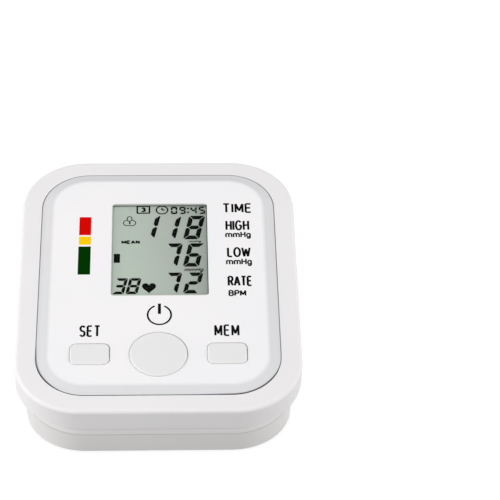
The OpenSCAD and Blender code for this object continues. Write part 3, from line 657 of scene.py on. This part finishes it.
# Thin plate: its outline at two levels with a wall between them, each end closed by triangles from its middle
def platesOnFace(name, outlines, levels, material):
    points, faces = [], []
    low, high = levels["low"], levels["high"]
    start = 0
    for outline in outlines:
        outline = np.asarray(outline, float)
        count = len(outline)
        middle = outline.mean(0)
        points += [onFace(outline[:, 0], outline[:, 1], np.full(count, level)) for level in (high, low)]
        points.append(onFace([middle[0]] * 2, [middle[1]] * 2, [high, low]))
        sides = ringFaces(2, count)[:, ::-1]
        around = np.arange(count)
        after = (around + 1) % count
        top = np.stack([around, after, np.full(count, 2 * count)], axis=1)
        under = np.stack([after + count, around + count, np.full(count, 2 * count + 1)], axis=1)
        faces += (sides + start).tolist() + (top + start).tolist() + (under + start).tolist()
        start += 2 * count + 2
    makeMesh(name, np.vstack(points), faces, material)


# Flat line of even width: the path moved half a width to either side of its own direction, at two levels
def linesOnFace(name, paths, width, levels, material, closed=False, body="housing"):
    points, faces = [], []
    low, high = levels["low"], levels["high"]
    start = 0
    for path in paths:
        path = np.asarray(path, float)
        count = len(path)
        if closed:
            along = np.roll(path, -1, 0) - np.roll(path, 1, 0)
        else:
            along = np.gradient(path, axis=0)
        along /= np.linalg.norm(along, axis=1)[:, None]
        side = np.stack([-along[:, 1], along[:, 0]], axis=1) * width / 2
        rims = [(path + side, high), (path - side, high), (path - side, low), (path + side, low)]
        points += [onFace(rim[:, 0], rim[:, 1], np.full(count, level)) for rim, level in rims]
        steps = np.arange(count if closed else count - 1)
        after = (steps + 1) % count
        for corner in range(4):
            following = (corner + 1) % 4
            faces += (np.stack([corner * count + steps, following * count + steps,
                                following * count + after, corner * count + after], axis=1) + start).tolist()
        if not closed:
            faces.append([start + corner * count for corner in (3, 2, 1, 0)])
            faces.append([start + corner * count + count - 1 for corner in (0, 1, 2, 3)])
        start += 4 * count
    makeMesh(name, np.vstack(points), faces, material, body)


# Outline with rounded corners: each corner's arc turns through a quarter
def roundedOutline(left, right, low, high, radius, steps=6):
    turn = np.linspace(0, math.pi / 2, steps)
    corners = [(right - radius, high - radius), (left + radius, high - radius),
               (left + radius, low + radius), (right - radius, low + radius)]
    return np.vstack([np.stack([x + radius * np.cos(turn + quarter * math.pi / 2),
                                y + radius * np.sin(turn + quarter * math.pi / 2)], axis=1)
                      for quarter, (x, y) in enumerate(corners)])


# Arc of an ellipse: middle plus radii times the cosine and the sine of a turn, from first to last degree
def arcPath(middle, radii, first, last, steps):
    turn = np.radians(np.linspace(first, last, steps))
    return np.stack([middle[0] + radii[0] * np.cos(turn), middle[1] + radii[1] * np.sin(turn)], axis=1)


# Which of the seven bars each digit lights: a top, b upper right, c lower right, d bottom, e lower left,
# f upper left and g middle
digitBars = {
    "0": "abcdef", "1": "bc", "2": "abged", "3": "abgcd", "4": "fgbc",
    "5": "afgcd", "6": "afgedc", "7": "abc", "8": "abcdefg", "9": "abcdfg",
}
barShape = {
    "gap": 0.1,      # shares of the bar's width: between two bars,
    "cut": 0.4,      # off the box's corners,
    "flat": 1.12,    # thickness of a level bar,
    "tip": 0.45,     # where an end's point lies,
    "notch": 0.15,   # and how much shorter the outer side is at the middle bar
}


# Bars of one digit in a box of width by height, leaned to the right by lean times the height. Their ends are
# mitred on the diagonals, the box's corners are cut, and level bars are a little thicker than upright ones
def digitOutlines(text, right, low, width, height, bar, lean):
    half = height / 2
    gap, cut, flat, tip, notch = (bar * barShape[part] for part in ("gap", "cut", "flat", "tip", "notch"))
    inner = bar + gap
    topBar = np.array([[cut / 2 + gap, -cut / 2], [cut, 0], [width - cut, 0],
                       [width - cut / 2 - gap, -cut / 2], [width - inner, -flat], [inner, -flat]])
    middleBar = np.array([[gap + tip, 0], [inner, flat / 2], [width - inner, flat / 2],
                          [width - gap - tip, 0], [width - inner, -flat / 2], [inner, -flat / 2]])
    sideBar = np.array([[0, cut], [0, half - 2 * gap - notch], [tip, half - gap],
                        [bar, half - flat / 2 - 1.5 * gap], [bar, flat + gap], [cut / 2, cut / 2 + gap]])
    shapes = {
        "a": topBar + [0, height],
        "d": topBar * [1, -1],
        "g": middleBar + [0, half],
        "e": sideBar,
        "f": sideBar * [1, -1] + [0, height],
        "c": sideBar * [-1, 1] + [width, 0],
        "b": sideBar * [-1, -1] + [width, height],
    }
    outlines = []
    for name in digitBars[text]:
        shape = shapes[name].copy()
        area = np.sum(shape[:, 0] * np.roll(shape[:, 1], -1) - np.roll(shape[:, 0], -1) * shape[:, 1])
        if area < 0:
            shape = shape[::-1]
        shape[:, 0] += lean * (shape[:, 1] - height)
        outlines.append(shape + [right - width, low])
    return outlines


# Levels of the ink on the display: sunk a hair into the glass, and ending well under the window
displayTop = faceBox("display_glass")[1][2]
inkSink = 0.01   # mm
displayInk = {"low": displayTop - inkSink, "high": displayTop + 0.03}

# Readings: right edge of each digit at its top and its lowest point, then width, height, bar and lean, in mm
readings = {
    "timeDigits": {"text": "0945", "right": (7.7, 11.1, 15.6, 19.0), "low": (36.7,) * 4, "width": 2.6,
                   "height": 4.2, "bar": 0.8, "lean": 0.0},
    "upperReading": {"text": "118", "right": (1.0, 9.4, 19.0), "low": (23.05, 22.55, 22.5), "width": 6.5,
                     "height": 13.2, "bar": 1.85, "lean": 0.2},
    "lowerReading": {"text": "76", "right": (9.9, 18.6), "low": (7.4, 7.4), "width": 6.4, "height": 12.8,
                     "bar": 1.8, "lean": 0.2},
    "rateReading": {"text": "72", "right": (9.5, 17.8), "low": (-7.0, -7.0), "width": 6.0, "height": 11.2,
                    "bar": 1.65, "lean": 0.2},
    "recordNumber": {"text": "38", "right": (-11.9, -6.6), "low": (-7.2, -7.2), "width": 4.7, "height": 8.5,
                     "bar": 1.25, "lean": 0.2},
}


def makeReadings(values):
    for name, row in values.items():
        outlines = []
        for digit, right, low in zip(row["text"], row["right"], row["low"]):
            outlines += digitOutlines(digit, right, low, row["width"], row["height"], row["bar"], row["lean"])
        platesOnFace(name, outlines, displayInk, finishes["displaySegment"])


makeReadings(readings)

# Signs on the display in mm. What a sign has inside is placed from its middle, and an arc is given in degrees
displaySigns = {
    "colon": {"x": 12.05, "low": 37.7, "high": 39.9, "size": 0.85, "radius": 0.17},
    "heart": {"middle": (-3.7, -4.25), "width": 5.5, "height": 5.6, "points": 64},
    "levelBlock": {"edges": (-17.7, -15.25, 9.7, 14.6), "radius": 0.15},
    "recordBox": {"edges": (-8.55, -3.6, 37.3, 41.2), "radius": 0.3, "line": 0.66},
    "clock": {"middle": (1.5, 39.05), "radii": (2.3, 2.2), "points": 48, "line": 0.56,
              "hands": (((0, 1.32), (0, 0.05)), ((-0.1, 0), (1.1, 0)))},
    "person": {"middle": (-11.6, 32.5), "line": 0.36, "headAt": (0, 1.7), "head": (1.0, 1.15),
               "headArc": (-55, 235), "headPoints": 33, "shoulderAt": (-1.2, -0.75), "shoulder": (1.25, 1.45),
               "shoulderArc": (62, 262), "shoulderPoints": 25,
               "mark": ((-0.45, 0.1), (0.1, 0.5), (0.1, -1.4)), "markLine": 0.612},
}


# Heart: x = 16 sin3 t and y = 13 cos t - 5 cos 2t - 2 cos 3t - cos 4t, scaled to its width and height
def heartOutline(values):
    turn = np.linspace(0, 2 * math.pi, values["points"], endpoint=False)[::-1]
    x = 16 * np.sin(turn) ** 3
    y = 13 * np.cos(turn) - 5 * np.cos(2 * turn) - 2 * np.cos(3 * turn) - np.cos(4 * turn)
    y -= (y.max() + y.min()) / 2
    return np.stack([values["middle"][0] + x / (x.max() - x.min()) * values["width"],
                     values["middle"][1] + y / (y.max() - y.min()) * values["height"]], axis=1)


# Head and shoulders: an arc open at the neck, an arc and its mirror image for the shoulders, and a foot line
def personPaths(values):
    middle = np.array(values["middle"])
    first, last = values["shoulderArc"]
    points = values["shoulderPoints"]
    head = arcPath(middle + values["headAt"], values["head"], *values["headArc"], values["headPoints"])
    left = arcPath(middle + values["shoulderAt"], values["shoulder"], first, last, points)
    mirrored = middle + np.array(values["shoulderAt"]) * [-1, 1]
    right = arcPath(mirrored, values["shoulder"], 180 - first, 180 - last, points)
    return [head, left, right, np.array([left[-1], right[-1]])]


def makeSigns(values):
    ink = finishes["displaySegment"]
    colon = values["colon"]
    half = colon["size"] / 2
    dots = [roundedOutline(colon["x"] - half, colon["x"] + half, y - half, y + half, colon["radius"])
            for y in (colon["low"], colon["high"])]
    platesOnFace("timeColon", dots, displayInk, ink)
    platesOnFace("heartSign", [heartOutline(values["heart"])], displayInk, ink)
    block = values["levelBlock"]
    platesOnFace("levelBlock", [roundedOutline(*block["edges"], block["radius"])], displayInk, ink)
    box = values["recordBox"]
    boxRim = roundedOutline(*box["edges"], box["radius"])
    linesOnFace("recordBox", [boxRim], box["line"], displayInk, ink, closed=True)
    clock = values["clock"]
    rim = arcPath(clock["middle"], clock["radii"], 0, 360, clock["points"] + 1)[:-1]
    linesOnFace("clockRim", [rim], clock["line"], displayInk, ink, closed=True)
    hands = [np.array(hand) + clock["middle"] for hand in clock["hands"]]
    linesOnFace("clockHands", hands, clock["line"], displayInk, ink)
    person = values["person"]
    linesOnFace("personSign", personPaths(person), person["line"], displayInk, ink)
    mark = np.array(person["mark"]) + person["middle"]
    linesOnFace("personNumber", [mark], person["markLine"], displayInk, ink)


makeSigns(displaySigns)
print("display made")

# Lettering of even strokes. A letter is as wide as its first value, on a height of 1 over the base line, and
# then come its strokes: four numbers join two points, and six give an ellipse's arc by middle, radii, first
# and last degree
letterStrokes = {
    "A": (0.72, (0, 0, 0.36, 1), (0.72, 0, 0.36, 1), (0.13, 0.33, 0.59, 0.33)),
    "B": (0.6, (0, 0, 0, 1), (0, 1, 0.33, 1), (0, 0.53, 0.35, 0.53), (0, 0, 0.35, 0),
          (0.33, 0.765, 0.235, 0.235, -90, 90), (0.35, 0.265, 0.25, 0.265, -90, 90)),
    "E": (0.54, (0, 0, 0, 1), (0, 1, 0.54, 1), (0, 0.52, 0.48, 0.52), (0, 0, 0.54, 0)),
    "G": (0.72, (0.36, 0.5, 0.36, 0.5, 42, 360), (0.42, 0.5, 0.72, 0.5)),
    "H": (0.6, (0, 0, 0, 1), (0.6, 0, 0.6, 1), (0, 0.52, 0.6, 0.52)),
    "I": (0, (0, 0, 0, 1)),
    "L": (0.5, (0, 0, 0, 1), (0, 0, 0.5, 0)),
    "M": (0.74, (0, 0, 0, 1), (0, 1, 0.37, 0.18), (0.37, 0.18, 0.74, 1), (0.74, 0, 0.74, 1)),
    "N": (0.6, (0, 0, 0, 1), (0, 1, 0.6, 0), (0.6, 0, 0.6, 1)),
    "O": (0.74, (0.37, 0.5, 0.37, 0.5, 0, 360)),
    "P": (0.58, (0, 0, 0, 1), (0, 1, 0.32, 1), (0, 0.48, 0.32, 0.48), (0.32, 0.74, 0.26, 0.26, -90, 90)),
    "R": (0.6, (0, 0, 0, 1), (0, 1, 0.32, 1), (0, 0.5, 0.32, 0.5), (0.32, 0.75, 0.25, 0.25, -90, 90),
          (0.32, 0.5, 0.6, 0)),
    "S": (0.56, (0.28, 0.75, 0.27, 0.25, 25, 270), (0.28, 0.25, 0.28, 0.25, -155, 90)),
    "T": (0.64, (0.32, 0, 0.32, 1), (0, 1, 0.64, 1)),
    "W": (0.96, (0, 1, 0.24, 0), (0.24, 0, 0.48, 0.86), (0.48, 0.86, 0.72, 0), (0.72, 0, 0.96, 1)),
    "3": (0.54, (0.25, 0.76, 0.24, 0.24, -90, 155), (0.27, 0.26, 0.27, 0.26, -155, 90)),
    "m": (0.88, (0, 0, 0, 0.7), (0.44, 0, 0.44, 0.46), (0.88, 0, 0.88, 0.46),
          (0.22, 0.46, 0.22, 0.24, 0, 165), (0.66, 0.46, 0.22, 0.24, 0, 165)),
    "g": (0.5, (0.25, 0.36, 0.25, 0.34, 0, 360), (0.5, 0.7, 0.5, 0), (0.26, 0, 0.24, 0.26, -160, 0)),
}
strokePoints = {"straight": 3, "arc": 24}


# Paths of a word: each letter's strokes one after another, then stretched between the four edges and leaned
def wordPaths(text, edges, line, gap=0.3, lean=0):
    paths, start = [], 0
    for letter in text:
        wide, *strokes = letterStrokes[letter]
        for stroke in strokes:
            if len(stroke) == 4:
                path = np.linspace(stroke[:2], stroke[2:], strokePoints["straight"])
            else:
                path = arcPath(stroke[:2], stroke[2:4], stroke[4], stroke[5], strokePoints["arc"])
            paths.append(path + [start, 0])
        start += wide + gap
    left, right, low, high = edges
    every = np.vstack(paths)
    small, big = every.min(0), every.max(0)
    corner = np.array([left, low]) + line / 2
    size = np.array([right - left, high - low]) - line
    placed = [corner + (path - small) / (big - small) * size for path in paths]
    return [path + np.outer(lean * (path[:, 1] - low), [1, 0]) for path in placed]


def wordOnFace(name, values, levels, material):
    linesOnFace(name, wordPaths(**values), values["line"], levels, material)


# Words on the display, each between its left, right, lowest and highest edge in mm
displayWords = {
    "recordBoxNumber": {"text": "3", "edges": (-7.05, -5.0, 37.95, 40.55), "line": 0.75},
    "meanWord": {"text": "MEAN", "edges": (-14.8, -7.4, 20.0, 22.1), "line": 0.58, "gap": 0.34},
    "upperUnit": {"text": "mmHg", "edges": (12.0, 16.9, 20.6, 21.9), "line": 0.24, "lean": 0.3},
    "lowerUnit": {"text": "mmHg", "edges": (10.0, 17.5, 4.4, 6.8), "line": 0.38, "lean": 0.3},
}
for name, values in displayWords.items():
    wordOnFace(name, values, displayInk, finishes["displaySegment"])

# Words printed on the panel, in plain functions' names
panelInk = {"low": -inkSink, "high": 0.025}
panelWords = {
    "timeLabel": {"text": "TIME", "edges": (25.9, 37.9, 36.0, 41.6), "line": 0.88, "gap": 0.34},
    "highLabel": {"text": "HIGH", "edges": (27.0, 36.6, 26.1, 31.9), "line": 0.86, "gap": 0.34},
    "highUnit": {"text": "mmHg", "edges": (26.8, 37.1, 21.4, 25.6), "line": 0.63},
    "lowLabel": {"text": "LOW", "edges": (27.3, 36.8, 11.3, 16.9), "line": 0.86, "gap": 0.3},
    "lowUnit": {"text": "mmHg", "edges": (26.8, 37.1, 6.4, 10.7), "line": 0.63},
    "rateLabel": {"text": "RATE", "edges": (27.2, 37.0, -4.4, 1.2), "line": 0.88, "gap": 0.3},
    "rateUnit": {"text": "BPM", "edges": (27.4, 34.4, -9.7, -6.4), "line": 0.66},
    "setLabel": {"text": "SET", "edges": (-30.4, -22.2, -30.5, -24.5), "line": 0.86, "gap": 0.4},
    "memoryLabel": {"text": "MEM", "edges": (21.5, 31.2, -30.5, -24.5), "line": 0.82, "gap": 0.42},
}
for name, values in panelWords.items():
    wordOnFace(name, values, panelInk, finishes["blackInk"])

standby = {
    "middle": (0.37, -19.3),
    "radii": (4.55, 5.0),
    "line": 0.72,
    "gap": 24,                   # degrees open on either side of the top
    "points": 72,
    "stem": (-0.2, 0.98, -18.8, -13.4),
    "stemRadius": 0.08,
}


# Standby sign: an arc open at the top round a short upright stem
def makeStandby(values):
    ink = finishes["blackInk"]
    first, last = 90 + values["gap"], 450 - values["gap"]
    arc = arcPath(values["middle"], values["radii"], first, last, values["points"])
    linesOnFace("standbyArc", [arc], values["line"], panelInk, ink)
    stem = roundedOutline(*values["stem"], values["stemRadius"])
    platesOnFace("standbyStem", [stem], panelInk, ink)


makeStandby(standby)

# Colour bar: left, right, lowest and highest edge of each part
colourBar = {
    "red": (-31.7, -26.95, 23.9, 34.0),
    "yellow": (-31.7, -26.9, 18.6, 23.1),
    "green": (-31.8, -26.9, 2.3, 17.6),
}
barRadius = 0.05
for colour, edges in colourBar.items():
    outline = roundedOutline(*edges, barRadius)
    platesOnFace(f"{colour}Bar", [outline], panelInk, finishes[f"{colour}Ink"])
print("panel printed")

windowShadeRing = {
    "line": 0.42,
    "drop": 0.02,                # of its top under the face
    "lift": 0.1,                 # of its foot over the display's glass
    "outward": 0.075,            # of its middle line from the edge of the panel's opening
    "radius": 1.2,
}


# Ring in the gap between window and panel, which carries the painted shade of the window's edge, a closed
# line round the window's own outline
def makeWindowShade(values):
    low, high = faceBox("lens")
    inset = windowFlange - values["outward"]
    edges = (low[0] + inset, high[0] - inset, low[1] + inset, high[1] - inset)
    levels = {"low": displayTop + values["lift"], "high": -values["drop"]}
    outline = roundedOutline(*edges, values["radius"])
    linesOnFace("windowEdgeShade", [outline], values["line"], levels, finishes["windowEdgeShade"], closed=True)


makeWindowShade(windowShadeRing)
print("gasket made")

keyCollars = {
    "inner": 0.31,               # how far inside the button's hole the collar reaches
    "outer": 0.1,                # and how far inside it starts
    "aside": -0.05,
    "high": -0.3,
    "low": -0.6,
    "lit": (240, 236, 234),
    "cloud": (236, 232, 230),
    "shaded": (118, 108, 100),
    "roughness": 0.5,
    "gloss": 0.3,
    "upShare": 0.6,              # weight of the way up beside the way across, in where the shade lies
    "shadeEdges": (0.3, 1.0),
    "cornerPoints": 24,
}
keyHoles = {
    "start": {"half": (11.35, 11.35), "radius": 11.35, "shade": 0.45},
    "set": {"half": (7.8, 5.45), "radius": 2.7, "shade": 1},
    "memory": {"half": (7.8, 5.45), "radius": 2.7, "shade": 1},
}


# Collar finish: pale, and shaded on the right and towards the upper right, as the gap round a button is
def collarPlastic(name, values, centre, half, depthOfShade):
    material = mouldedPlastic(f"{name}CollarPlastic", values["lit"], values["cloud"], values["roughness"],
                              gloss=values["gloss"])
    tree, shader, base, (across, along, _) = reopenFinish(material)
    low, high = faceBox("face_panel")
    panelMiddle = (low[1] + high[1]) / 2
    up = centre[1] - panelMiddle
    share = values["upShare"]
    onRight = spread(tree, across, -1, 1, (centre[0] - half[0]) * mm, (centre[0] + half[0]) * mm)
    onTop = spread(tree, along, -share, share, (up - half[1]) * mm, (up + half[1]) * mm)
    shade = spread(tree, mathOf(tree, "ADD", onRight, onTop), 0, depthOfShade, *values["shadeEdges"])
    colourShader(tree, shader, shade, base, values["shaded"])
    return material


# Collar round each button: a closed line that fills the gap to the panel, but for a hair, and moves with it
def makeCollars(values):
    inset = (values["inner"] + values["outer"]) / 2
    width = values["inner"] - values["outer"]
    for name, hole in keyHoles.items():
        low, high = faceBox(f"{name}_button")
        x, y = (low[:2] + high[:2]) / 2 + [values["aside"], 0]
        reach = [half - inset for half in hole["half"]]
        path = roundedOutline(x - reach[0], x + reach[0], y - reach[1], y + reach[1], hole["radius"] - inset,
                              values["cornerPoints"])
        material = collarPlastic(name, values, (x, y), reach, hole["shade"])
        linesOnFace(f"{name}Collar", [path], width, values, material, closed=True,
                    body=f"{name}_key")


makeCollars(keyCollars)
print("collars made")

doorArrow = {
    "half": 3.4,
    "rise": 3.0,
    "fromBack": 23,
    "line": 1.0,
    "height": 0.25,
    "around": 16,
}


# Arrow moulded on the cell door's underside: an ellipse carried along a chevron that points out of the bay.
# Each ring is its path point plus cos(turn) times half the line sideways and sin(turn) times the height
# downwards, and the middle ring is widened by 1 / cos of the chevron's slope, as a mitre is
def makeDoorArrow(values):
    low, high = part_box("battery_door")
    around = values["around"]
    path = np.array([[-values["half"], 0], [0, values["rise"]], [values["half"], 0]]) * mm
    path += [(low.x + high.x) / 2, high.y - values["fromBack"] * mm]
    along = np.gradient(path, axis=0)
    side = np.stack([-along[:, 1], along[:, 0]], axis=1) / np.linalg.norm(along, axis=1)[:, None]
    side[1] *= math.hypot(values["half"], values["rise"]) / values["half"]
    turn = np.linspace(0, 2 * math.pi, around, endpoint=False)
    flat = path[:, None] + side[:, None] * (np.cos(turn) * values["line"] / 2 * mm)[None, :, None]
    down = np.broadcast_to(low.z - np.sin(turn) * values["height"] * mm, (len(path), around))
    points = np.concatenate([flat, down[:, :, None]], axis=2).reshape(-1, 3)
    ring = list(range(around))
    lastRing = [point + (len(path) - 1) * around for point in ring]
    faces = ringFaces(len(path), around).tolist() + [ring[::-1], lastRing]
    makeMesh("doorArrow", points, faces, finishes["lowerPlastic"], "cell_door")


makeDoorArrow(doorArrow)
print("door arrow made")

studio = {
    "floorSize": 3000,
    "floorShade": 0.3,
    "floorLift": 0.8,
    "worldLight": 0.5,
    "softboxes": {
        "overhead": {"place": (-120, 60, 900), "size": 900, "watts": 3.0, "inGloss": True},
        "front": {"place": (-420, -860, 380), "size": 700, "watts": 2.3, "inGloss": True},
        "left": {"place": (-940, -230, 120), "size": 460, "watts": 5.6, "inGloss": False},
        "right": {"place": (940, -180, 120), "size": 460, "watts": 5.7, "inGloss": False},
    },
}


# 1 for a ray from the camera, a reflection or through glass, and 0 for one that only lights the object
def seenDirectly(tree):
    path = tree.nodes.new("ShaderNodeLightPath")
    inGlass = mathOf(tree, "MAXIMUM", path.outputs["Is Glossy Ray"], path.outputs["Is Transmission Ray"])
    return mathOf(tree, "MAXIMUM", path.outputs["Is Camera Ray"], inGlass)


# Floor that takes the object's shadow, and looks near white to the camera and in glass
def makeFloor(values):
    half = values["floorSize"] / 2 * mm
    mesh = bpy.data.meshes.new("studioFloor")
    corners = [(-half, -half, 0), (half, -half, 0), (half, half, 0), (-half, half, 0)]
    mesh.from_pydata(corners, [], [(0, 1, 2, 3)])
    floor = bpy.data.objects.new("studioFloor", mesh)
    bpy.context.scene.collection.objects.link(floor)
    material = bpy.data.materials.new("floorPaper")
    material.use_nodes = True
    tree = material.node_tree
    tree.nodes.clear()
    paper = tree.nodes.new("ShaderNodeBsdfDiffuse")
    paper.inputs["Color"].default_value = (values["floorShade"],) * 3 + (1,)
    lift = tree.nodes.new("ShaderNodeEmission")
    glow = mathOf(tree, "MULTIPLY", seenDirectly(tree), values["floorLift"])
    joinNodes(tree, glow, lift.inputs["Strength"])
    both = tree.nodes.new("ShaderNodeAddShader")
    joinNodes(tree, paper.outputs[0], both.inputs[0])
    joinNodes(tree, lift.outputs[0], both.inputs[1])
    out = tree.nodes.new("ShaderNodeOutputMaterial")
    joinNodes(tree, both.outputs[0], out.inputs["Surface"])
    mesh.materials.append(material)


# White surroundings, which light the object with less than what they show
def makeWorld(values):
    world = bpy.data.worlds.new("studioWorld")
    bpy.context.scene.world = world
    world.use_nodes = True
    tree = world.node_tree
    sky = tree.nodes["Background"]
    least = values["worldLight"]
    strength = mathOf(tree, "MULTIPLY_ADD", seenDirectly(tree), 1 - least, least)
    sky.inputs["Color"].default_value = (1, 1, 1, 1)
    joinNodes(tree, strength, sky.inputs["Strength"])


def makeSoftbox(name, values):
    data = bpy.data.lights.new(name, "AREA")
    data.shape = "SQUARE"
    data.size = values["size"] * mm
    data.energy = values["watts"]
    lamp = bpy.data.objects.new(name, data)
    lamp.location = Vector(values["place"]) * mm
    lamp.rotation_euler = (-lamp.location).to_track_quat("-Z", "Y").to_euler()
    lamp.visible_glossy = values["inGloss"]   # a low side lamp would glare on the face in a side view
    bpy.context.scene.collection.objects.link(lamp)


makeFloor(studio)
makeWorld(studio)
for name, values in studio["softboxes"].items():
    makeSoftbox(name, values)
bpy.context.scene.view_settings.view_transform = "Standard"
print("studio lit")
